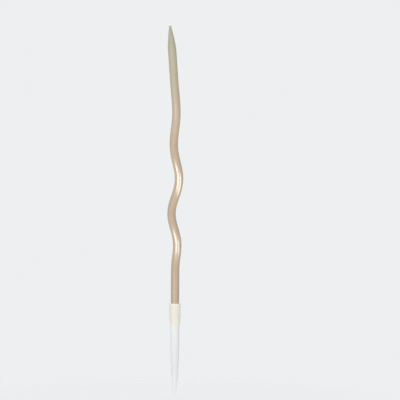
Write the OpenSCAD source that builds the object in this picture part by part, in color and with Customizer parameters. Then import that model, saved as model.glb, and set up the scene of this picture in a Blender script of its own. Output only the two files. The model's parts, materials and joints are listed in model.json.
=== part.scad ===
// Wavy birthday candle: a thin wax stem bent into a slow left-handed helix and dipped in
// gold, with a braided wick through it, pushed into the cup of a white plastic pick.
// The origin is on the pick's axis where the spike leaves the cup, at the top of the cake.
// +Z runs up the candle, and +X is the side that the first wave swells towards.

/* [Stem] */
// Finished diameter of the stem, gold coat included
stem_d = 4; // [3.6:0.1:5]
// Height of the stem above the holder's rim, without the bare wick
stem_h = 130; // [120:1:150]
// Length of the pointed top
point_l = 9; // [7:1:14]
// Finished diameter of the blunt end round the wick
point_d = 1.7; // [1.6:0.1:2.2]
// Thickness of the gold coat
coat_t = 0.2; // [0.15:0.05:0.25]
// Bare wax that shows between the rim and the gold coat
coat_gap = 0.4; // [0.2:0.1:1]

/* [Waves] */
// Reach of the widest wave from the stem's own line
wave_r = 1.9; // [1:0.1:2.5]
// Rise of the stem in one full turn of the wave
wave_pitch = 35; // [28:0.5:40]
// Height above the rim of the first swell
first_crest = 25; // [20:1:34]
// Height above the rim where the waves begin
wave_from = 14; // [8:1:18]
// How far the tip leans away from the side of the first swell
tip_lean = 2.8; // [0:0.1:5]
// Height above the rim where the lean begins
lean_from = 88; // [60:1:100]

/* [Wick] */
// Diameter of the wick
wick_d = 1; // [0.8:0.05:1.2]
// Length of bare wick above the wax
wick_bare = 2; // [1:0.5:5]

/* [Holder] */
// Height of the cup, from the spike to the rim
cup_h = 11.5; // [10:0.5:15]
// Height of the tapered shoulder at the bottom of the cup
shoulder_h = 3.5; // [3:0.5:5]
// Depth of the socket that the stem is pushed into
socket_depth = 8; // [6:0.5:8.5]
// Wall of the cup at its rim
rim_wall = 1; // [0.85:0.05:1.6]
// Wall of the cup where its shoulder starts
shoulder_wall = 0.85; // [0.75:0.05:1.2]
// Diameter of the spike's parallel land, under the cup
spike_d = 4.2; // [3.6:0.1:4.4]
// Length of that land
land_l = 8; // [6:0.5:12]
// Diameter of the spike where its point starts
spike_end_d = 3.4; // [2.4:0.1:3.6]
// Length of that point
spike_point = 9; // [6:0.5:10]
// Length of the whole spike, from the cup to its tip
spike_l = 32; // [25:1:40]

/* [Hidden] */
$fn = 64;

// Fits and small radii
plug_step = 0.1;
socket_gap = 0.05;
lead_in = 0.35;
bead_r = 0.45;
tip_r = 0.45;
cut_past = 1;

// Sizes worked out from the driving ones
core_r = stem_d / 2 - coat_t;
plug_r = core_r - plug_step;
socket_r = plug_r + socket_gap;
socket_floor = cup_h - socket_depth;
rim_r = socket_r + rim_wall;
shoulder_r = socket_r + shoulder_wall;
point_from = stem_h - point_l;

// How the waves, the lean and the point set in
wave_lead = 0.55;
wave_ease = 3;
lean_power = 1.4;
point_power = 1.3;

// How finely the bent pieces and the small arcs are drawn
sides = 16;
shaft_rings = 62;
point_rings = 8;
bare_rings = 2;
slope_step = 0.05;
tip_steps = 4;
bead_steps = 6;

// Path of the stem at height h above the rim: waves that swell and die away, and a lean on top
function swell(h) =
    h <= wave_from || h >= stem_h
        ? 0
        : pow(sin(180 * pow((h - wave_from) / (stem_h - wave_from), wave_lead)), wave_ease);
function lean(h) =
    h <= lean_from ? 0 : pow((h - lean_from) / (stem_h - lean_from), lean_power);
function turn(h) = 360 * (h - first_crest) / wave_pitch;
function centre(h) = [
    wave_r * swell(h) * cos(turn(h)) - tip_lean * lean(h),
    -wave_r * swell(h) * sin(turn(h)),
    cup_h + h
];

// One ring of points square to the path
function unit(v) = v / norm(v);
function heading(h) = unit(centre(h + slope_step) - centre(h - slope_step));
function ring(h, r) =
    let (along = heading(h))
    let (across = unit(cross([0, 1, 0], along)))
    let (outward = cross(along, across))
    [
        for (i = [0 : sides - 1])
            let (a = 360 * i / sides)
            centre(h) + r * (cos(a) * across + sin(a) * outward)
    ];
function rings(stations) = [for (s = stations) each ring(s[0], s[1])];

// Radius of the dipped stem at height h: parallel, then drawn to a point
function stem_r(h) =
    h <= point_from
        ? stem_d / 2
        : stem_d / 2 - (stem_d - point_d) / 2 * pow((h - point_from) / point_l, point_power);

// Heights of the rings, from the foot of the sweep to the top of the wax
function heights(foot) = concat(
    [foot],
    [for (i = [1 : shaft_rings]) point_from * i / shaft_rings],
    [for (i = [1 : point_rings]) point_from + point_l * i / point_rings]
);

// Skin of triangles over rows of rings that start at point number first
function skin(rows, first, inward) = [
    for (row = [0 : rows - 2], i = [0 : sides - 1])
        let (next = (i + 1) % sides)
        let (a = first + row * sides + i, b = first + row * sides + next)
        let (c = b + sides, d = a + sides)
        each inward ? [[a, b, c], [a, c, d]] : [[a, c, b], [a, d, c]]
];

// Flat ring of triangles between two rings of points
function end_ring(outer, inner, top) = [
    for (i = [0 : sides - 1])
        let (next = (i + 1) % sides)
        let (a = outer + i, b = outer + next, c = inner + next, d = inner + i)
        each top ? [[a, c, b], [a, d, c]] : [[a, b, c], [a, c, d]]
];

// Solid rod through the stations, each a height and a radius
module swept_rod(stations) {
    rows = len(stations);
    foot = [for (i = [0 : sides - 1]) i];
    head = [for (i = [sides - 1 : -1 : 0]) (rows - 1) * sides + i];
    polyhedron(rings(stations), concat([foot], skin(rows, 0, false), [head]));
}

// Bent tube between two sets of stations at the same heights
module swept_tube(outer, inner) {
    rows = len(outer);
    bore = rows * sides;
    last = (rows - 1) * sides;
    polyhedron(
        concat(rings(outer), rings(inner)),
        concat(
            skin(rows, 0, false),
            skin(rows, bore, true),
            end_ring(0, bore, false),
            end_ring(last, bore + last, true)
        )
    );
}

// Points along an arc about a centre, between two angles
function arc(cx, cz, r, from, to, steps) = [
    for (i = [0 : steps])
        let (a = from + (to - from) * i / steps)
        [cx + r * cos(a), cz + r * sin(a)]
];

// White moulded pick: a rimmed cup with a socket, then a parallel land, a slow taper and a point
module holder() {
    outline = concat(
        arc(0, tip_r - spike_l, tip_r, -90, 0, tip_steps),
        [
            [spike_end_d / 2, spike_point - spike_l],
            [spike_d / 2, -land_l],
            [spike_d / 2, 0],
            [shoulder_r, shoulder_h]
        ],
        arc(rim_r - bead_r, cup_h - bead_r, bead_r, -45, 90, bead_steps),
        [
            [socket_r + lead_in, cup_h],
            [socket_r, cup_h - lead_in],
            [socket_r, socket_floor],
            [0, socket_floor]
        ]
    );
    color("whitesmoke") rotate_extrude() polygon(outline);
}

// Ivory wax: the bent core, and the straight plug that stands in the socket
module wax_core() {
    core = heights(0);
    color("ivory") {
        swept_tube(
            [for (h = core) [h, stem_r(h) - coat_t]],
            [for (h = core) [h, wick_d / 2]]
        );
        translate([0, 0, socket_floor]) difference() {
            cylinder(r = plug_r, h = socket_depth);
            translate([0, 0, -cut_past]) linear_extrude(socket_depth + 2 * cut_past) polygon(
                [for (i = [0 : sides - 1]) wick_d / 2 * [cos(360 * i / sides), sin(360 * i / sides)]]
            );
        }
    }
}

// Gold dip over the core, from just above the rim to the top of the wax
module gold_coat() {
    coat = heights(coat_gap);
    color("#c8ad88") swept_tube(
        [for (h = coat) [h, stem_r(h)]],
        [for (h = coat) [h, stem_r(h) - coat_t]]
    );
}

// Cotton wick, from the foot of the wax to its bare end
module wick() {
    bare = [for (i = [1 : bare_rings]) stem_h + wick_bare * i / bare_rings];
    run = concat([-socket_depth], heights(0), bare);
    color("#d9d3c4") swept_rod([for (h = run) [h, wick_d / 2]]);
}

holder();
wax_core();
gold_coat();
wick();
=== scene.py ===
"""Wavy birthday candle: the finished looks of its four pieces, built round the packed solids.

The file is laid out as an add-on and is run as a script. Sizes are in metres, in the frame of the
solids: the origin is where the spike leaves the cup, +Z runs up the candle, and -Y faces the viewer.
"""

import json
import math
import random

import bpy
import numpy as np
from bpy.props import FloatProperty, FloatVectorProperty, IntProperty, PointerProperty
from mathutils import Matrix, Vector, noise


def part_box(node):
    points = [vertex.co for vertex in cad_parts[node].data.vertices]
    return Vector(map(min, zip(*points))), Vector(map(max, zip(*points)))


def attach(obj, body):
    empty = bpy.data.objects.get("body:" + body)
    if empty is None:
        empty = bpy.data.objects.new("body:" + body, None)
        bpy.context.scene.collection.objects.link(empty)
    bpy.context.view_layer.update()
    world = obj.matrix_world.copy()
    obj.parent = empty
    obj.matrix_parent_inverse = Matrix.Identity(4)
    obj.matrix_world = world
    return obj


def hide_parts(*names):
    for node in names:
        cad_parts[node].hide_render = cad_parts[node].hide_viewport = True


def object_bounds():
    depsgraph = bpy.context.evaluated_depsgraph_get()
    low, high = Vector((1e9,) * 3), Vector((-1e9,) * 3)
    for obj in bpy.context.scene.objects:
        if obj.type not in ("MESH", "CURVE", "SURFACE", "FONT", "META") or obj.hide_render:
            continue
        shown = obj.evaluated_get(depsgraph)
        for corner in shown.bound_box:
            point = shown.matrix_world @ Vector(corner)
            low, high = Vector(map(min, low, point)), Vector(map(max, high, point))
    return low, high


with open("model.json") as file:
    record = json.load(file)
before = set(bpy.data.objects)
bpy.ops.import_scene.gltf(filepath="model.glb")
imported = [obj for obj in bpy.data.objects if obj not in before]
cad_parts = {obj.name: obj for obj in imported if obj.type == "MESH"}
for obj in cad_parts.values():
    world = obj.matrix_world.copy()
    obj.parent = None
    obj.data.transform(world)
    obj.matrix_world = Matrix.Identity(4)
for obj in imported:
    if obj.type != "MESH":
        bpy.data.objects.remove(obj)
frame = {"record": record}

bl_info = {
    "name": "Wavy Birthday Candle",
    "version": (1, 0, 0),
    "blender": (4, 5, 0),
    "location": "View3D > Sidebar > Candle",
    "description": "Builds a gold-dipped wavy candle, its braided wick and its cake pick",
    "category": "Add Mesh",
}

MM = 0.001

# Places and sizes taken from the packed solids
CAD_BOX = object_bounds()
PICK_LOW, PICK_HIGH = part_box("holder")
RIM_Z = PICK_HIGH.z
SOCKET_FLOOR_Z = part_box("wax_core")[0].z
SOCKET_DEPTH = RIM_Z - SOCKET_FLOOR_Z
SPIKE_MOUNT = frame["record"]["mounts"][0]["dims"]

# Frame of the picture that the camera takes
IMAGE_SIZE = 400
PIXEL = 0.476 * MM
AXIS_COLUMN = 175.5
RIM_ROW = 303.5

# How finely the pieces are drawn
SHARP_ANGLE = math.radians(40)
SLOPE_STEP = 0.05 * MM
PICK_SIDE_DEG = 4
PICK_STEP = 0.8 * MM
FILLET_STEPS = 6
WAX_SIDES = 40
WAX_ROWS = 260
DIP_SIDES = 48
DIP_ROWS = 480
LINING_ROWS = 170
LIP_POINTS = 9
CLIMB_POINTS = 10
YARN_SIDES = 24
YARN_STEP = 0.3 * MM
BARE_YARN_STEP = 0.06 * MM
FIBRE_SIDES = 5
FIBRE_POINTS = 7
FLOOR_SIDES = 96
FLOOR_RINGS = 12
FLOOR_EYE = 5 * MM

# Fillets of the pick's half section, and how much of a side one of them may take up
FILLETS = {
    "tip": 0.42 * MM,
    "point": 4.0 * MM,
    "land": 2.0 * MM,
    "spike_top": 0.8 * MM,
    "shoulder": 1.2 * MM,
    "under_rim": 0.18 * MM,
    "rim_foot": 0.2 * MM,
    "rim_top": 0.4 * MM,
    "mouth": 0.12 * MM,
    "lead_in": 0.2 * MM,
    "socket_floor": 0.35 * MM,
}
FILLET_SHARE = 0.48

# How much of the rim's roll stands at the full radius, and how far its parting line spreads to each side
RIM_STRAIGHT = 0.75
PARTING_DEG = 2

# Height of the cone between the wax plug and the stem, in plug steps
PLUG_CONE = 2

# The dip's edges: how far the bead reaches in half thicknesses, how far the lip's stray fades in
# thicknesses, and the waves round the edge, each with its count, height and start
BEAD_REACH = 2.5
LIP_FADE = 8
EDGE_WAVES = ((1, 1.0, 0.7), (2, 0.6, 2.1), (5, 0.4, 4.0))

# The dip's ripples: their size, how they are drawn out along the stem, and the finer ones' size and share
RIPPLE_SIZE = 2.2 * MM
RIPPLE_DRAW = (1, 1, 0.5)
FINE_RIPPLE_SIZE = 0.7 * MM
FINE_RIPPLE = 0.25

# Where the dip ends on the wick: how much of the wick's fullness it follows, and its edge in half thicknesses
FILM_FIT = 0.25
FILM_EDGE = 0.2

# The braid: its yarns, in wick diameters their radius and how far they swing across and in depth, and
# the depth of the grooves between their plies, as a share of that radius
STRANDS = 3
YARN_RADIUS = 0.25
YARN_WIDE = 0.25
YARN_DEEP = 0.2
PLY_DEPTH = 0.24

# The wick's bare end: the share of its length in which it fills out, how the yarns splay over their last
# stretch and how unevenly they are cut. Each yarn closes by shares of its radius on the rings at its ends,
# and its tip stands past them by a share of the radius there
FULL_FROM = 0.4
SPLAY = 0.1
SPLAY_LENGTH = 1.2 * MM
CUT_STEP = 0.1 * MM
CLOSING = (0.55, 0.85)
TIP_PAST = 0.5

# Loose fibres: where they root, counted in points back from a yarn's end, and how they run
FIBRE_SEED = 7
FIBRE_ROOTS = (2, 16)
FIBRE_LENGTH = (0.25 * MM, 0.7 * MM)
FIBRE_RISE = (0.2, 1.4)
FIBRE_CURL = (-0.5, 0.5)
FIBRE_BEND = 0.5
FIBRE_RADIUS = 0.022 * MM
FIBRE_TAPER = 0.7

# Ranges that the finishes carry values between: most of a soft noise, its upper part, and the whole
NOISE = (0.3, 0.7)
UPPER_NOISE = (0.35, 0.7)
WHOLE = (0, 1)

# Softboxes: azimuth and elevation in degrees, width and height in metres, and share of the full light
SOFTBOXES = {
    "left_softbox": (-25, -27, (1.8, 1.4), 1.0),
    "right_softbox": (45, -30, (1.6, 1.06), 1.0),
    "rear_softbox": (180, 42, (1.6, 1.1), 0.6),
}

# The room: the direction in which it gets darker, and its tint
ROOM_DEPTH = (0.42, 0.91, 0)
ROOM_TINT = (0.985, 0.99, 1.0, 1.0)


def length(name, description, default):
    """A property that holds a length in metres."""
    return FloatProperty(
        name=name, description=description, default=default, min=0.0,
        subtype="DISTANCE", unit="LENGTH", precision=5,
    )


def camera_length(name, description, default):
    """A property that holds a length in a camera, in millimetres."""
    return FloatProperty(
        name=name, description=description, default=default, min=1.0,
        subtype="DISTANCE_CAMERA", unit="CAMERA",
    )


def angle(name, description, default):
    """A property that holds an angle in radians."""
    return FloatProperty(
        name=name, description=description, default=default, subtype="ANGLE", unit="ROTATION",
    )


def number(name, description, default):
    """A property that holds a plain number."""
    return FloatProperty(name=name, description=description, default=default, min=0.0)


def count(name, description, default):
    """A property that holds a whole number."""
    return IntProperty(name=name, description=description, default=default, min=1)


def share(name, description, default):
    """A property that holds a number from 0 to 1."""
    return FloatProperty(
        name=name, description=description, default=default, min=0.0, max=1.0, subtype="FACTOR",
    )


def colour(name, description, default):
    """A property that holds a linear colour."""
    return FloatVectorProperty(
        name=name, description=description, default=default, size=3, min=0.0, max=1.0, subtype="COLOR",
    )


class StemShape(bpy.types.PropertyGroup):
    """Line and thickness of the stem, as the solids have them"""

    diameter: length("Stem diameter", "Finished diameter, gold dip included", 4.0 * MM)
    height: length("Stem height", "Height above the rim, without the bare wick", 130.0 * MM)
    point_length: length("Point length", "Length of the pointed top", 9.0 * MM)
    point_diameter: length("Point diameter", "Diameter of the blunt end round the wick", 1.7 * MM)
    point_power: number("Point curve", "How the point draws in", 1.3)
    wave_reach: length("Wave reach", "Reach of the widest wave", 1.9 * MM)
    wave_pitch: length("Wave pitch", "Rise of the stem in one turn of the wave", 35.0 * MM)
    wave_lead: number("Wave lead", "How low the widest wave lies", 0.55)
    wave_ease: number("Wave ease", "How the waves set in", 3.0)
    first_crest: length("First crest", "Height above the rim of the first swell", 25.0 * MM)
    wave_start: length("Wave start", "Height above the rim where the waves begin", 14.0 * MM)
    tip_lean: length("Tip lean", "How far the tip leans", 2.8 * MM)
    lean_start: length("Lean start", "Height above the rim where the lean begins", 88.0 * MM)
    lean_power: number("Lean curve", "How the lean sets in", 1.4)


class DipLook(bpy.types.PropertyGroup):
    """Thickness, unevenness and colours of the gold dip"""

    thickness: length("Dip thickness", "Thickness of the gold dip", 0.2 * MM)
    gap: length("Bare wax", "Bare wax between the rim and the dip", 0.4 * MM)
    climb: length("Climb", "How far the dip climbs the wick", 0.9 * MM)
    bead: length("Lip bead", "How far the lower lip stands proud", 0.05 * MM)
    wander: length("Edge wander", "How far the dip's two edges stray from level", 0.1 * MM)
    ripple: length("Ripple", "Height of the slow ripples left by dipping", 0.012 * MM)
    gold: colour("Gold", "Main colour of the dip", (0.468, 0.324, 0.191))
    pale_gold: colour("Pale gold", "Colour of the paler streaks", (0.512, 0.367, 0.23))
    olive_gold: colour("Olive gold", "Colour towards the point", (0.4, 0.349, 0.212))
    foot_tint: colour("Foot tint", "How the gold deepens towards the pick", (0.945, 0.927, 0.9))
    foot_low: length("Foot tint from", "Height where the gold is deepest", 24.0 * MM)
    foot_high: length("Foot tint to", "Height where it has its main colour", 34.0 * MM)
    olive_low: length("Olive from", "Height where the gold starts to turn olive", 85.0 * MM)
    olive_high: length("Olive to", "Height where it has turned olive", 135.0 * MM)
    roughness: share("Roughness", "Roughness of the satin dip", 0.42)


class WaxLook(bpy.types.PropertyGroup):
    """Fit and colours of the wax under the dip"""

    plug_step: length("Plug step", "How much smaller the plug's radius is than the stem's", 0.1 * MM)
    foot_chamfer: length("Foot chamfer", "Chamfer at the plug's foot", 0.45 * MM)
    ivory: colour("Ivory", "Main colour of the wax", (0.86, 0.79, 0.62))
    pale_ivory: colour("Pale ivory", "Colour of the cloudy patches", (0.92, 0.88, 0.76))


class WickLook(bpy.types.PropertyGroup):
    """Braid and colours of the wick"""

    diameter: length("Wick diameter", "Diameter over the braid", 1.0 * MM)
    bare: length("Bare wick", "Length of wick above the wax", 2.0 * MM)
    fullness: share("Fullness", "How much fuller the bare end is than the rest", 0.4)
    braid_pitch: length("Braid pitch", "Length in which a yarn comes back to its place", 2.4 * MM)
    yarn_twist: length("Yarn twist", "Length of one turn of the yarn's own twist", 1.1 * MM)
    plies: count("Plies", "Ridges round each yarn", 4)
    fibres: count("Loose fibres", "Fibres that stray at the end", 16)
    cotton: colour("Cotton", "Colour of the waxed cotton", (0.55, 0.52, 0.42))
    gilt_cotton: colour("Gilt cotton", "Colour of the bare end, tinged by the dip", (0.47, 0.46, 0.33))
    # Painted shade: this dark colour is laid between the fibres in place of the shade in the braid's grooves.
    painted_fibre_shade: colour("Fibre shade", "Colour between the fibres", (0.2, 0.18, 0.13))
    soaked_cotton: colour("Soaked cotton", "Colour where wax has soaked in", (0.66, 0.62, 0.48))


class PickShape(bpy.types.PropertyGroup):
    """Sizes and colours of the moulded pick"""

    rim_radius: length("Rim radius", "Outer radius of the rim", PICK_HIGH.x)
    socket_radius: length("Socket radius", "Radius of the socket", 1.75 * MM)
    lead_in: length("Lead-in", "Chamfer at the socket's mouth", 0.35 * MM)
    neck_radius: length("Neck radius", "Outer radius of the cup under its rim", 2.62 * MM)
    rim_height: length("Rim height", "Height of the rim's roll", 0.85 * MM)
    shoulder_radius: length("Shoulder radius", "Outer radius where the shoulder ends", 2.6 * MM)
    shoulder_height: length("Shoulder height", "Height of the tapered shoulder", 3.5 * MM)
    spike_radius: length("Spike radius", "Radius of the spike's land", SPIKE_MOUNT["r_mm"] * MM)
    land: length("Land", "Length of the spike's parallel land", SPIKE_MOUNT["length_mm"] * MM)
    point_radius: length("Point radius", "Radius of the spike where its point starts", 1.7 * MM)
    point_length: length("Point length", "Length of the spike's point", 9.0 * MM)
    tip_radius: length("Tip radius", "Radius of the spike's tip", 0.45 * MM)
    parting: length("Parting line", "Height of the mould's parting line", 0.02 * MM)
    white: colour("White", "Colour of the plastic", (0.83, 0.84, 0.84))
    flow_white: colour("Flow white", "Colour of the faint flow marks", (0.85, 0.86, 0.87))
    warm_white: colour("Warm white", "Colour where the wax shows through the cup", (0.80, 0.77, 0.672))


class StageLook(bpy.types.PropertyGroup):
    """Floor, lights and camera"""

    pale: colour("Background", "Colour of the backdrop", (0.847, 0.863, 0.879))
    floor: colour("Floor", "Colour of the floor", (0.77, 0.785, 0.80))
    glow: share("Floor glow", "Light that the floor lets through from below", 0.28)
    floor_radius: length("Floor radius", "Radius of the floor", 0.12)
    cover: share("Floor cover", "How much of the light from below the floor holds back", 0.62)
    fade_start: length("Fade start", "Radius where the floor starts to meet the backdrop", 0.07)
    fade_end: length("Fade end", "Radius where the floor has met the backdrop", 0.115)
    light_distance: length("Light distance", "Distance of the softboxes", 2.5)
    light_radiance: number("Light", "Radiance of the softboxes", 3.3)
    front: number("Front fill", "Brightness of the room in front", 0.84)
    back: number("Back fill", "Brightness of the room behind", 0.5)
    lens: camera_length("Lens", "Focal length", 200.0)
    sensor: camera_length("Sensor", "Width of the sensor", 36.0)
    tilt: angle("Tilt", "How far the candle leans to the right in the picture", math.radians(0.28))


class Skin:
    """Points and faces of one piece in the making."""

    def __init__(self):
        self.points = []
        self.faces = []

    def loft(self, rings, start=None, stop=None, looped=False):
        """Lays quads over rows of rings, which run to a point at the start or stop, or loop on themselves."""
        rows, sides = rings.shape[:2]
        first = len(self.points)
        self.points.extend(map(tuple, rings.reshape(-1, 3)))
        for row in range(rows if looped else rows - 1):
            here = first + row * sides
            there = first + (row + 1) % rows * sides
            for side in range(sides):
                turn = (side + 1) % sides
                self.faces.append((here + side, here + turn, there + turn, there + side))
        if start is not None:
            self.fan(start, first, sides, upward=False)
        if stop is not None:
            self.fan(stop, first + (rows - 1) * sides, sides, upward=True)

    def fan(self, tip, first, sides, upward):
        """Closes a ring of points to one tip."""
        centre = len(self.points)
        self.points.append(tuple(tip))
        for side in range(sides):
            edge = (first + side, first + (side + 1) % sides)
            self.faces.append((*edge, centre) if upward else (edge[1], edge[0], centre))

    def piece(self, name, material):
        """Makes the smooth-shaded object."""
        mesh = bpy.data.meshes.new(name)
        mesh.from_pydata(self.points, [], self.faces)
        mesh.shade_smooth()
        mesh.set_sharp_from_angle(angle=SHARP_ANGLE)
        mesh.materials.append(material)
        made = bpy.data.objects.new(name, mesh)
        bpy.context.scene.collection.objects.link(made)
        return made


class Finish:
    """A node material in the making. Each call returns the output of the nodes that it adds."""

    # Sockets that the Mix node has for colours: the factor, the two colours and the result
    MIX_INPUTS = (0, 6, 7)
    MIX_RESULT = 2

    def __init__(self, name):
        self.material = bpy.data.materials.new(name)
        self.material.use_nodes = True
        self.tree = self.material.node_tree
        self.shader = self.tree.nodes["Principled BSDF"]
        self.place = self.tree.nodes.new("ShaderNodeTexCoord").outputs["Object"]

    def feed(self, socket, value):
        """Links an output to a socket, or sets the socket to a plain value."""
        if isinstance(value, bpy.types.NodeSocket):
            self.tree.links.new(value, socket)
        else:
            socket.default_value = value

    def shade(self, **values):
        """Sets the shader's sockets, whose names are written here with underscores."""
        for name, value in values.items():
            self.feed(self.shader.inputs[name.replace("_", " ")], value)

    def stretched(self, stretch):
        """Object coordinates, drawn out along an axis where stretch is under 1."""
        mapping = self.tree.nodes.new("ShaderNodeMapping")
        self.feed(mapping.inputs["Vector"], self.place)
        mapping.inputs["Scale"].default_value = stretch
        return mapping.outputs["Vector"]

    def clouds(self, size, detail, stretch=(1, 1, 1)):
        """Soft noise with patches of about that size."""
        node = self.tree.nodes.new("ShaderNodeTexNoise")
        self.feed(node.inputs["Vector"], self.stretched(stretch))
        node.inputs["Scale"].default_value = 1 / size
        node.inputs["Detail"].default_value = detail
        return node.outputs["Fac"]

    def flakes(self, size):
        """Cells of about that size, each with a grey of its own."""
        node = self.tree.nodes.new("ShaderNodeTexVoronoi")
        self.feed(node.inputs["Vector"], self.place)
        node.inputs["Scale"].default_value = 1 / size
        split = self.tree.nodes.new("ShaderNodeSeparateColor")
        self.feed(split.inputs["Color"], node.outputs["Color"])
        return split.outputs["Red"]

    def height(self):
        """Height in the part's frame."""
        split = self.tree.nodes.new("ShaderNodeSeparateXYZ")
        self.feed(split.inputs["Vector"], self.place)
        return split.outputs["Z"]

    def span(self, value, source, target):
        """Carries a value smoothly from one range to another."""
        node = self.tree.nodes.new("ShaderNodeMapRange")
        node.interpolation_type = "SMOOTHSTEP"
        self.feed(node.inputs["Value"], value)
        node.inputs["From Min"].default_value = source[0]
        node.inputs["From Max"].default_value = source[1]
        node.inputs["To Min"].default_value = target[0]
        node.inputs["To Max"].default_value = target[1]
        return node.outputs["Result"]

    def add(self, one, other):
        """Adds two values."""
        node = self.tree.nodes.new("ShaderNodeMath")
        node.operation = "ADD"
        self.feed(node.inputs[0], one)
        self.feed(node.inputs[1], other)
        return node.outputs["Value"]

    def blend(self, amount, one, other, how="MIX"):
        """Mixes two colours, or joins them by another way of mixing."""
        node = self.tree.nodes.new("ShaderNodeMix")
        node.data_type = "RGBA"
        node.blend_type = how
        for socket, value in zip(self.MIX_INPUTS, (amount, one, other)):
            self.feed(node.inputs[socket], value)
        return node.outputs[self.MIX_RESULT]

    def relief(self, height, depth, under=None):
        """Normals of a fine relief of that depth, over another relief if one is given."""
        node = self.tree.nodes.new("ShaderNodeBump")
        node.inputs["Distance"].default_value = depth
        self.feed(node.inputs["Height"], height)
        if under is not None:
            self.feed(node.inputs["Normal"], under)
        return node.outputs["Normal"]


def solid(rgb):
    """A property's colour with full alpha."""
    return (*rgb, 1.0)


def unit(vectors):
    """Vectors of length 1."""
    return vectors / np.linalg.norm(vectors, axis=-1, keepdims=True)


def circle(sides):
    """Evenly spaced angles of a full turn."""
    return np.linspace(0, 2 * np.pi, sides, endpoint=False)


def turned(radii, angles, heights):
    """Points on rings round the part's own axis."""
    return np.stack(np.broadcast_arrays(radii * np.cos(angles), radii * np.sin(angles), heights), axis=-1)


def divide(start, stop, step):
    """Points between two ends, no further apart than the step, without the ends."""
    parts = max(1, math.ceil(np.linalg.norm(np.subtract(stop, start)) / step))
    return [start + (stop - start) * i / parts for i in range(1, parts)]


def unevenness(points, size):
    """Smooth noise between -1 and 1 at each point, with bumps of about that size."""
    flat = points.reshape(-1, 3) / size
    return np.array([noise.noise(Vector(p)) for p in flat]).reshape(points.shape[:-1])


def stem_centres(stem, heights):
    """Centres of the stem at heights above the rim: waves that swell and die away, and a lean on top."""
    along = np.clip((heights - stem.wave_start) / (stem.height - stem.wave_start), 0, 1)
    reach = stem.wave_reach * np.abs(np.sin(np.pi * along ** stem.wave_lead)) ** stem.wave_ease
    turn = 2 * np.pi * (heights - stem.first_crest) / stem.wave_pitch
    above = np.clip((heights - stem.lean_start) / (stem.height - stem.lean_start), 0, None)
    lean = above ** stem.lean_power
    sideways = reach * np.cos(turn) - stem.tip_lean * lean
    return np.stack([sideways, -reach * np.sin(turn), RIM_Z + heights], axis=-1)


def stem_frames(stem, heights):
    """Centres, and the two directions square to the stem, at heights above the rim."""
    along = unit(stem_centres(stem, heights + SLOPE_STEP) - stem_centres(stem, heights - SLOPE_STEP))
    across = unit(np.cross([0, 1, 0], along))
    return stem_centres(stem, heights), across, np.cross(along, across)


def stem_points(stem, heights, radii, angles):
    """Points round the stem's bent line, each at its own height, radius and angle."""
    heights, radii, angles = np.broadcast_arrays(heights, radii, angles)
    centres, across, outward = stem_frames(stem, heights)
    sideways = across * np.cos(angles)[..., None] + outward * np.sin(angles)[..., None]
    return centres + radii[..., None] * sideways


def stem_radius(stem, heights):
    """Radius of the dipped stem: parallel, then drawn to a point."""
    into = np.clip((heights - stem.height + stem.point_length) / stem.point_length, 0, 1)
    return stem.diameter / 2 - (stem.diameter - stem.point_diameter) / 2 * into ** stem.point_power


def plastic_finish(pick):
    """White moulded plastic, a little see-through, so the wax warms the cup."""
    finish = Finish("white_moulded_plastic")
    grain = finish.clouds(size=0.3 * MM, detail=3.0)
    flow = finish.clouds(size=5 * MM, detail=2.0, stretch=(1, 1, 0.3))
    mottle = finish.add(finish.height(), finish.span(flow, NOISE, target=(-0.5 * MM, 0.5 * MM)))
    warmth = finish.span(mottle, source=(-2.0 * MM, 3.2 * MM), target=WHOLE)
    marked = finish.blend(
        finish.span(flow, NOISE, target=(0, 0.35)), solid(pick.white), solid(pick.flow_white),
    )
    finish.shade(
        Base_Color=finish.blend(warmth, marked, solid(pick.warm_white)),
        Roughness=finish.span(grain, NOISE, target=(0.26, 0.38)),
        Normal=finish.relief(grain, depth=0.003 * MM),
        Subsurface_Weight=0.4,
        Subsurface_Radius=(1.0, 0.95, 0.85),
        Subsurface_Scale=1.0 * MM,
    )
    return finish.material


def wax_finish(wax):
    """Bare ivory wax: cloudy, waxy and a little see-through."""
    finish = Finish("ivory_wax")
    clouds = finish.clouds(size=1.6 * MM, detail=4.0)
    grain = finish.clouds(size=0.25 * MM, detail=3.0)
    cloudy = finish.span(clouds, NOISE, target=WHOLE)
    finish.shade(
        Base_Color=finish.blend(cloudy, solid(wax.ivory), solid(wax.pale_ivory)),
        Roughness=finish.span(grain, NOISE, target=(0.42, 0.58)),
        Normal=finish.relief(grain, depth=0.006 * MM),
        Subsurface_Weight=0.35,
        Subsurface_Radius=(1.0, 0.75, 0.45),
        Subsurface_Scale=1.2 * MM,
    )
    return finish.material


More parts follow.
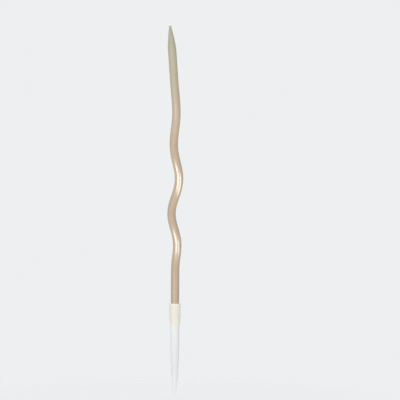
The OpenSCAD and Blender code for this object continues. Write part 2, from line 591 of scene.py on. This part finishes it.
def gold_finish(dip):
    """Champagne gold: fine flake under a clear gloss, streaked by dipping, greener towards the point."""
    finish = Finish("champagne_gold_dip")
    streaks = finish.clouds(size=1.2 * MM, detail=3.0, stretch=(1, 1, 0.12))
    patches = finish.clouds(size=7 * MM, detail=3.0)
    flakes = finish.flakes(size=0.055 * MM)
    peel = finish.clouds(size=0.5 * MM, detail=2.0)
    streaked = finish.blend(
        finish.span(streaks, UPPER_NOISE, target=WHOLE), solid(dip.gold), solid(dip.pale_gold),
    )
    downward = finish.span(finish.height(), source=(dip.foot_low, dip.foot_high), target=(1, 0))
    deepened = finish.blend(downward, streaked, solid(dip.foot_tint), "MULTIPLY")
    upward = finish.span(finish.height(), source=(dip.olive_low, dip.olive_high), target=WHOLE)
    greened = finish.blend(upward, deepened, solid(dip.olive_gold))
    glints = finish.span(flakes, WHOLE, target=(0.84, 1.1))
    rubbed = finish.span(patches, UPPER_NOISE, target=(dip.roughness - 0.05, dip.roughness + 0.06))
    grain = finish.span(flakes, WHOLE, target=(-0.05, 0.05))
    finish.shade(
        Base_Color=finish.blend(1.0, greened, glints, "MULTIPLY"),
        Metallic=0.1,
        Roughness=finish.add(rubbed, grain),
        Normal=finish.relief(flakes, depth=0.0005 * MM, under=finish.relief(peel, depth=0.003 * MM)),
        Coat_Weight=1.0,
        Coat_Roughness=0.24,
        Coat_IOR=2.4,
    )
    return finish.material


def cotton_finish(wick, stem):
    """Waxed cotton yarn: fibres along the braid with painted shade between them, tinged by the dip on the
    bare end.
    """
    finish = Finish("waxed_cotton")
    fibres = finish.clouds(size=0.09 * MM, detail=3.0, stretch=(1, 1, 0.3))
    blotches = finish.clouds(size=0.8 * MM, detail=2.0)
    bare_from = RIM_Z + stem.height
    tinged = finish.span(
        finish.height(), source=(bare_from - 0.5 * MM, bare_from + 0.8 * MM), target=WHOLE,
    )
    yarn = finish.blend(tinged, solid(wick.cotton), solid(wick.gilt_cotton))
    # Painted shade: the yarn darkens towards the fibre shade colour where the fibre noise is low, in the same
    # hollows that the relief sinks.
    shaded = finish.blend(finish.span(fibres, NOISE, target=(0.35, 0)), yarn, solid(wick.painted_fibre_shade))
    soaking = finish.span(blotches, source=(0.4, 0.7), target=(0, 0.3))
    finish.shade(
        Base_Color=finish.blend(soaking, shaded, solid(wick.soaked_cotton)),
        Roughness=finish.span(fibres, NOISE, target=(0.6, 0.85)),
        Normal=finish.relief(fibres, depth=0.02 * MM),
        Sheen_Weight=0.25,
        Sheen_Roughness=0.4,
    )
    return finish.material


class CANDLE_OT_pick(bpy.types.Operator):
    """Builds the white pick: a cup with a rolled rim and a socket, over a land, a slow taper and a point"""

    bl_idname = "candle.build_pick"
    bl_label = "Build Pick"
    bl_options = {"REGISTER", "UNDO"}

    def corners(self, pick):
        """Corners of the pick's half section, each a radius, a height and a fillet."""
        return [
            (pick.tip_radius, PICK_LOW.z, FILLETS["tip"]),
            (pick.point_radius, PICK_LOW.z + pick.point_length, FILLETS["point"]),
            (pick.spike_radius, -pick.land, FILLETS["land"]),
            (pick.spike_radius, 0.0, FILLETS["spike_top"]),
            (pick.shoulder_radius, pick.shoulder_height, FILLETS["shoulder"]),
            (pick.neck_radius, RIM_Z - pick.rim_height, FILLETS["under_rim"]),
            (pick.rim_radius, RIM_Z - RIM_STRAIGHT * pick.rim_height, FILLETS["rim_foot"]),
            (pick.rim_radius, RIM_Z, FILLETS["rim_top"]),
            (pick.socket_radius + pick.lead_in, RIM_Z, FILLETS["mouth"]),
            (pick.socket_radius, RIM_Z - pick.lead_in, FILLETS["lead_in"]),
            (pick.socket_radius, SOCKET_FLOOR_Z, FILLETS["socket_floor"]),
        ]

    def outline(self, pick):
        """Points of the half section, with its corners rounded and its long runs divided."""
        ends = [(0.0, PICK_LOW.z, 0.0), (0.0, SOCKET_FLOOR_Z, 0.0)]
        marks = [np.array(c) for c in (ends[0], *self.corners(pick), ends[1])]
        points = [marks[0][:2]]
        for before, mark, after in zip(marks, marks[1:], marks[2:]):
            corner, fillet = mark[:2], mark[2]
            back, ahead = before[:2] - corner, after[:2] - corner
            room = FILLET_SHARE * min(np.linalg.norm(back), np.linalg.norm(ahead))
            reach = min(fillet, room)
            start, stop = corner + reach * unit(back), corner + reach * unit(ahead)
            points.extend(divide(points[-1], start, PICK_STEP))
            for t in np.linspace(0, 1, FILLET_STEPS + 1):
                points.append((1 - t) ** 2 * start + 2 * t * (1 - t) * corner + t ** 2 * stop)
        return np.array(points[1:])

    def execute(self, context):
        pick = context.scene.candle_pick
        outline = self.outline(pick)
        evenly = set(range(0, 360, PICK_SIDE_DEG))
        beside_parting = {(seam + off) % 360 for seam in (0, 180) for off in (-PARTING_DEG, PARTING_DEG)}
        angles = np.radians(sorted(evenly | beside_parting))
        off_parting = np.abs(np.sin(angles))
        ridge = pick.parting * np.exp(-((off_parting / math.sin(math.radians(PARTING_DEG))) ** 2))
        inside = np.arange(len(outline)) > np.argmax(outline[:, 1])
        radii = outline[:, :1] + np.where(inside[:, None], 0.0, ridge[None, :])
        skin = Skin()
        skin.loft(turned(radii, angles, outline[:, 1:]), (0, 0, PICK_LOW.z), (0, 0, SOCKET_FLOOR_Z))
        made = skin.piece("moulded_pick", plastic_finish(pick))
        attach(made, "pick")
        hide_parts("holder")
        return {"FINISHED"}


class CANDLE_OT_wax(bpy.types.Operator):
    """Builds the ivory wax: the bent stem with its bore, and the straight plug for the socket"""

    bl_idname = "candle.build_wax"
    bl_label = "Build Wax"
    bl_options = {"REGISTER", "UNDO"}

    def execute(self, context):
        scene = context.scene
        stem, dip, wax = scene.candle_stem, scene.candle_dip, scene.candle_wax
        bore = scene.candle_wick.diameter / 2
        core = stem.diameter / 2 - dip.thickness
        plug = core - wax.plug_step
        foot = -SOCKET_DEPTH
        plug_h = [foot, foot, foot + wax.foot_chamfer, foot / 2, -PLUG_CONE * wax.plug_step, 0.0]
        plug_r = [bore, plug - wax.foot_chamfer, plug, plug, plug, core]
        stem_h = np.linspace(0, stem.height, WAX_ROWS)[1:]
        bore_h = np.linspace(stem.height, foot, WAX_ROWS)[:-1]
        heights = np.concatenate([plug_h, stem_h, bore_h])
        radii = np.concatenate(
            [plug_r, stem_radius(stem, stem_h) - dip.thickness, np.full(len(bore_h), bore)],
        )
        skin = Skin()
        skin.loft(stem_points(stem, heights[:, None], radii[:, None], circle(WAX_SIDES)), looped=True)
        made = skin.piece("ivory_wax_stem", wax_finish(wax))
        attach(made, "candle")
        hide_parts("wax_core")
        return {"FINISHED"}


class CANDLE_OT_dip(bpy.types.Operator):
    """Builds the gold dip: a thin uneven shell with a beaded lip, climbing the wick at the point"""

    bl_idname = "candle.build_dip"
    bl_label = "Build Gold Dip"
    bl_options = {"REGISTER", "UNDO"}

    def section(self, stem, dip, wick):
        """Heights and radii round the dip's section: the lip, the outside, the climb and the inside."""
        half = dip.thickness / 2
        lip_h = dip.gap + half
        lip_turn = np.linspace(np.pi, 2 * np.pi, LIP_POINTS)
        outside_h = np.linspace(lip_h, stem.height, DIP_ROWS)[1:]
        bead = dip.bead * np.exp(-(((outside_h - lip_h) / (BEAD_REACH * half)) ** 2))
        up = np.linspace(0, 1, CLIMB_POINTS)[1:]
        film = wick.diameter / 2 * (1 + FILM_FIT * wick.fullness)
        climb_r = film + (stem.point_diameter / 2 - film) * (0.5 + 0.5 * np.cos(np.pi * up))
        under_film = film - FILM_EDGE * half
        inside_h = np.linspace(stem.height, lip_h, LINING_ROWS)[:-1]
        runs = [
            (lip_h + half * np.sin(lip_turn), stem.diameter / 2 - half + half * np.cos(lip_turn)),
            (outside_h, stem_radius(stem, outside_h) + bead),
            (stem.height + dip.climb * up, climb_r),
            ([stem.height + dip.climb, stem.height], [under_film, under_film]),
            (inside_h, stem_radius(stem, inside_h) - dip.thickness),
        ]
        return [np.concatenate(run) for run in zip(*runs)]

    def execute(self, context):
        scene = context.scene
        stem, dip = scene.candle_stem, scene.candle_dip
        heights, radii = self.section(stem, dip, scene.candle_wick)
        angles = circle(DIP_SIDES)
        level = stem_points(stem, heights[:, None], radii[:, None], angles)
        outside = (radii > stem_radius(stem, heights) - dip.thickness / 2)[:, None]
        swell = dip.ripple * unevenness(level * RIPPLE_DRAW, RIPPLE_SIZE)
        swell += FINE_RIPPLE * dip.ripple * unevenness(level, FINE_RIPPLE_SIZE)
        stray = sum(high * np.sin(waves * angles + start) for waves, high, start in EDGE_WAVES)
        near_lip = np.exp(-(heights - dip.gap) / (LIP_FADE * dip.thickness))
        near_top = np.clip((heights - stem.height) / dip.climb, 0, 1)
        uneven_h = heights[:, None] + dip.wander / 2 * (near_lip + near_top)[:, None] * stray
        uneven_r = radii[:, None] + np.where(outside, swell, 0.0)
        skin = Skin()
        skin.loft(stem_points(stem, uneven_h, uneven_r, angles), looped=True)
        made = skin.piece("gold_dip_shell", gold_finish(dip))
        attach(made, "candle")
        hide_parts("gold_coat")
        return {"FINISHED"}


class CANDLE_OT_wick(bpy.types.Operator):
    """Builds the braided wick, with twisted yarns and a few loose fibres at its bare end"""

    bl_idname = "candle.build_wick"
    bl_label = "Build Wick"
    bl_options = {"REGISTER", "UNDO"}

    def fullness(self, stem, wick, heights):
        """How much fuller the braid is above the wax, where nothing holds it in."""
        above = np.clip((heights - stem.height) / (FULL_FROM * wick.bare), 0, 1)
        return 1 + wick.fullness * above

    def yarn_line(self, stem, wick, strand):
        """Heights and points of one yarn's line through the braid, splayed a little at the end."""
        top = stem.height + wick.bare - CUT_STEP * strand
        bare_from = stem.height - YARN_STEP
        hidden = np.arange(-SOCKET_DEPTH, bare_from, YARN_STEP)
        heights = np.concatenate([hidden, np.arange(bare_from, top, BARE_YARN_STEP)])
        turn = 2 * np.pi * (heights / wick.braid_pitch + strand / STRANDS)
        near_end = np.clip(1 - (top - heights) / SPLAY_LENGTH, 0, 1)
        splay = (1 + SPLAY * near_end ** 2) * self.fullness(stem, wick, heights)
        wide = YARN_WIDE * wick.diameter * splay * np.sin(turn)
        deep = YARN_DEEP * wick.diameter * splay * np.sin(2 * turn)
        centres, across, outward = stem_frames(stem, heights)
        return heights, centres + wide[:, None] * across + deep[:, None] * outward

    def yarn_radii(self, stem, wick, heights, angles):
        """Radii round one yarn: ridged by its plies, twisted, and drawn in at both ends."""
        twist = 2 * np.pi * heights[:, None] / wick.yarn_twist
        ridges = np.abs(np.cos(wick.plies * (angles - twist) / 2))
        plied = YARN_RADIUS * wick.diameter * (1 - PLY_DEPTH + PLY_DEPTH * ridges)
        closing = np.ones(len(heights))
        for ring, part in enumerate(CLOSING):
            closing[[ring, -1 - ring]] = part
        full = closing * self.fullness(stem, wick, heights)
        return plied * full[:, None]

    def fibre_line(self, chance, lines):
        """Points of one loose fibre, which leaves a yarn near its end."""
        root = chance.choice(lines)[-chance.randrange(*FIBRE_ROOTS)]
        away = self.direction(chance, FIBRE_RISE)
        curl = self.direction(chance, FIBRE_CURL)
        reach = chance.uniform(*FIBRE_LENGTH)
        steps = np.linspace(0, 1, FIBRE_POINTS)[:, None]
        return root + reach * (steps * unit(away) + FIBRE_BEND * steps ** 2 * curl)

    def direction(self, chance, rise):
        """A random direction that rises between the two limits."""
        return np.array([chance.uniform(-1, 1), chance.uniform(-1, 1), chance.uniform(*rise)])

    def lay_tube(self, skin, line, radii, angles):
        """Lofts a tube of the given radii along a line, with tips a little past its ends."""
        along = unit(np.gradient(line, axis=0))
        side = unit(np.cross([0, 1, 0], along))
        other = np.cross(along, side)
        sideways = side[:, None] * np.cos(angles)[:, None] + other[:, None] * np.sin(angles)[:, None]
        rings = line[:, None] + radii[..., None] * sideways
        past = TIP_PAST * radii.mean(axis=1)
        skin.loft(rings, line[0] - past[0] * along[0], line[-1] + past[-1] * along[-1])

    def execute(self, context):
        scene = context.scene
        stem, wick = scene.candle_stem, scene.candle_wick
        yarn_angles, fibre_angles = circle(YARN_SIDES), circle(FIBRE_SIDES)
        skin = Skin()
        lines = []
        for strand in range(STRANDS):
            heights, line = self.yarn_line(stem, wick, strand)
            self.lay_tube(skin, line, self.yarn_radii(stem, wick, heights, yarn_angles), yarn_angles)
            lines.append(line)
        chance = random.Random(FIBRE_SEED)
        tapered = FIBRE_RADIUS * (1 - FIBRE_TAPER * np.linspace(0, 1, FIBRE_POINTS)[:, None])
        fibre_radii = tapered * np.ones(FIBRE_SIDES)
        for _ in range(wick.fibres):
            self.lay_tube(skin, self.fibre_line(chance, lines), fibre_radii, fibre_angles)
        made = skin.piece("braided_wick", cotton_finish(wick, stem))
        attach(made, "candle")
        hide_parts("wick")
        return {"FINISHED"}


class CANDLE_OT_stage(bpy.types.Operator):
    """Sets the stage: a pale floor under the spike, softboxes, a pale room and the camera"""

    bl_idname = "candle.set_stage"
    bl_label = "Set Stage"
    bl_options = {"REGISTER", "UNDO"}

    def floor_finish(self, look):
        """A pale matt floor that lets some light through and fades into the backdrop at its rim."""
        finish = Finish("pale_floor")
        tree = finish.tree
        reach = tree.nodes.new("ShaderNodeVectorMath")
        reach.operation = "LENGTH"
        finish.feed(reach.inputs[0], finish.place)
        far = finish.span(
            reach.outputs["Value"], source=(look.fade_start, look.fade_end), target=(1 - look.cover, 1),
        )
        grain = finish.clouds(size=8 * MM, detail=3.0)
        grained = finish.span(grain, NOISE, target=(0, 0.03))
        finish.shade(
            Base_Color=finish.blend(grained, solid(look.floor), solid(look.pale)),
            Roughness=0.9,
            Specular_IOR_Level=0.1,
            Emission_Color=solid(look.pale),
            Emission_Strength=look.glow,
        )
        clear = tree.nodes.new("ShaderNodeBsdfTransparent")
        mixed = tree.nodes.new("ShaderNodeMixShader")
        finish.feed(mixed.inputs[0], far)
        finish.feed(mixed.inputs[1], finish.shader.outputs["BSDF"])
        finish.feed(mixed.inputs[2], clear.outputs["BSDF"])
        finish.feed(tree.nodes["Material Output"].inputs["Surface"], mixed.outputs["Shader"])
        return finish.material

    def lay_floor(self, look):
        """Lays a round floor under the tip of the spike."""
        radii = np.geomspace(FLOOR_EYE, look.floor_radius, FLOOR_RINGS)[::-1, None]
        skin = Skin()
        skin.loft(turned(radii, circle(FLOOR_SIDES), 0.0), stop=(0, 0, 0))
        floor = skin.piece("floor", self.floor_finish(look))
        floor.location.z = PICK_LOW.z

    def hang_softbox(self, scene, look, name):
        """Hangs a soft light that faces the middle of the candle."""
        azimuth, elevation, (wide, high), part = SOFTBOXES[name]
        light = bpy.data.lights.new(name, "AREA")
        light.shape = "RECTANGLE"
        light.size = wide
        light.size_y = high
        light.energy = part * look.light_radiance * math.pi * wide * high
        turn, lift = math.radians(azimuth), math.radians(elevation)
        away = Vector((math.sin(turn) * math.cos(lift), -math.cos(turn) * math.cos(lift), math.sin(lift)))
        lamp = bpy.data.objects.new(name, light)
        lamp.location = (CAD_BOX[0] + CAD_BOX[1]) / 2 + look.light_distance * away
        lamp.rotation_euler = away.to_track_quat("Z", "Y").to_euler()
        lamp.visible_camera = False
        scene.collection.objects.link(lamp)

    def paint_room(self, scene, look):
        """Paints a room that is pale to the camera, and brighter in front of the candle than behind it."""
        world = bpy.data.worlds.new("pale_room")
        world.use_nodes = True
        tree = world.node_tree
        room = tree.nodes["Background"]
        place = tree.nodes.new("ShaderNodeTexCoord")
        falling = tree.nodes.new("ShaderNodeVectorMath")
        falling.operation = "DOT_PRODUCT"
        falling.inputs[1].default_value = ROOM_DEPTH
        depth = tree.nodes.new("ShaderNodeMapRange")
        tree.links.new(place.outputs["Generated"], falling.inputs[0])
        tree.links.new(falling.outputs["Value"], depth.inputs["Value"])
        depth.inputs["From Min"].default_value = -1
        depth.inputs["To Min"].default_value = look.front
        depth.inputs["To Max"].default_value = look.back
        tree.links.new(depth.outputs["Result"], room.inputs["Strength"])
        room.inputs["Color"].default_value = ROOM_TINT
        seen = tree.nodes.new("ShaderNodeBackground")
        seen.inputs["Color"].default_value = solid(look.pale)
        rays = tree.nodes.new("ShaderNodeLightPath")
        mixed = tree.nodes.new("ShaderNodeMixShader")
        tree.links.new(rays.outputs["Is Camera Ray"], mixed.inputs[0])
        tree.links.new(room.outputs["Background"], mixed.inputs[1])
        tree.links.new(seen.outputs["Background"], mixed.inputs[2])
        tree.links.new(mixed.outputs["Shader"], tree.nodes["World Output"].inputs["Surface"])
        scene.world = world
        scene.view_settings.view_transform = "Standard"

    def set_camera(self, scene, look):
        """Sets a long lens in front of the candle, level with its middle."""
        lens = bpy.data.cameras.new("photo_view")
        lens.lens = look.lens
        lens.sensor_width = look.sensor
        camera = bpy.data.objects.new("photo_view", lens)
        distance = PIXEL * IMAGE_SIZE * look.lens / look.sensor
        beside = (IMAGE_SIZE / 2 - AXIS_COLUMN) * PIXEL
        camera.location = (beside, -distance, RIM_Z + (RIM_ROW - IMAGE_SIZE / 2) * PIXEL)
        camera.rotation_euler = (math.pi / 2, -look.tilt, 0)
        scene.collection.objects.link(camera)
        scene.camera = camera

    def execute(self, context):
        scene = context.scene
        look = scene.candle_stage
        self.lay_floor(look)
        for name in SOFTBOXES:
            self.hang_softbox(scene, look, name)
        self.paint_room(scene, look)
        self.set_camera(scene, look)
        return {"FINISHED"}


class CANDLE_PT_panel(bpy.types.Panel):
    """Lists the pieces of the candle and their sizes and colours"""

    bl_idname = "CANDLE_PT_panel"
    bl_label = "Wavy Candle"
    bl_space_type = "VIEW_3D"
    bl_region_type = "UI"
    bl_category = "Candle"

    def draw(self, context):
        for operator in OPERATORS:
            self.layout.operator(operator.bl_idname)
        for name, group in GROUPS.items():
            box = self.layout.box()
            box.label(text=group.__doc__)
            for field in group.__annotations__:
                box.prop(getattr(context.scene, name), field)


GROUPS = {
    "candle_stem": StemShape,
    "candle_dip": DipLook,
    "candle_wax": WaxLook,
    "candle_wick": WickLook,
    "candle_pick": PickShape,
    "candle_stage": StageLook,
}
OPERATORS = (CANDLE_OT_stage, CANDLE_OT_pick, CANDLE_OT_wax, CANDLE_OT_dip, CANDLE_OT_wick)
CLASSES = (*GROUPS.values(), *OPERATORS, CANDLE_PT_panel)


def register():
    for made in CLASSES:
        bpy.utils.register_class(made)
    for name, group in GROUPS.items():
        setattr(bpy.types.Scene, name, PointerProperty(type=group))


def unregister():
    for name in GROUPS:
        delattr(bpy.types.Scene, name)
    for made in reversed(CLASSES):
        bpy.utils.unregister_class(made)


def main():
    register()
    bpy.ops.candle.set_stage()
    bpy.ops.candle.build_pick()
    bpy.ops.candle.build_wax()
    bpy.ops.candle.build_dip()
    bpy.ops.candle.build_wick()


if __name__ == "__main__":
    main()
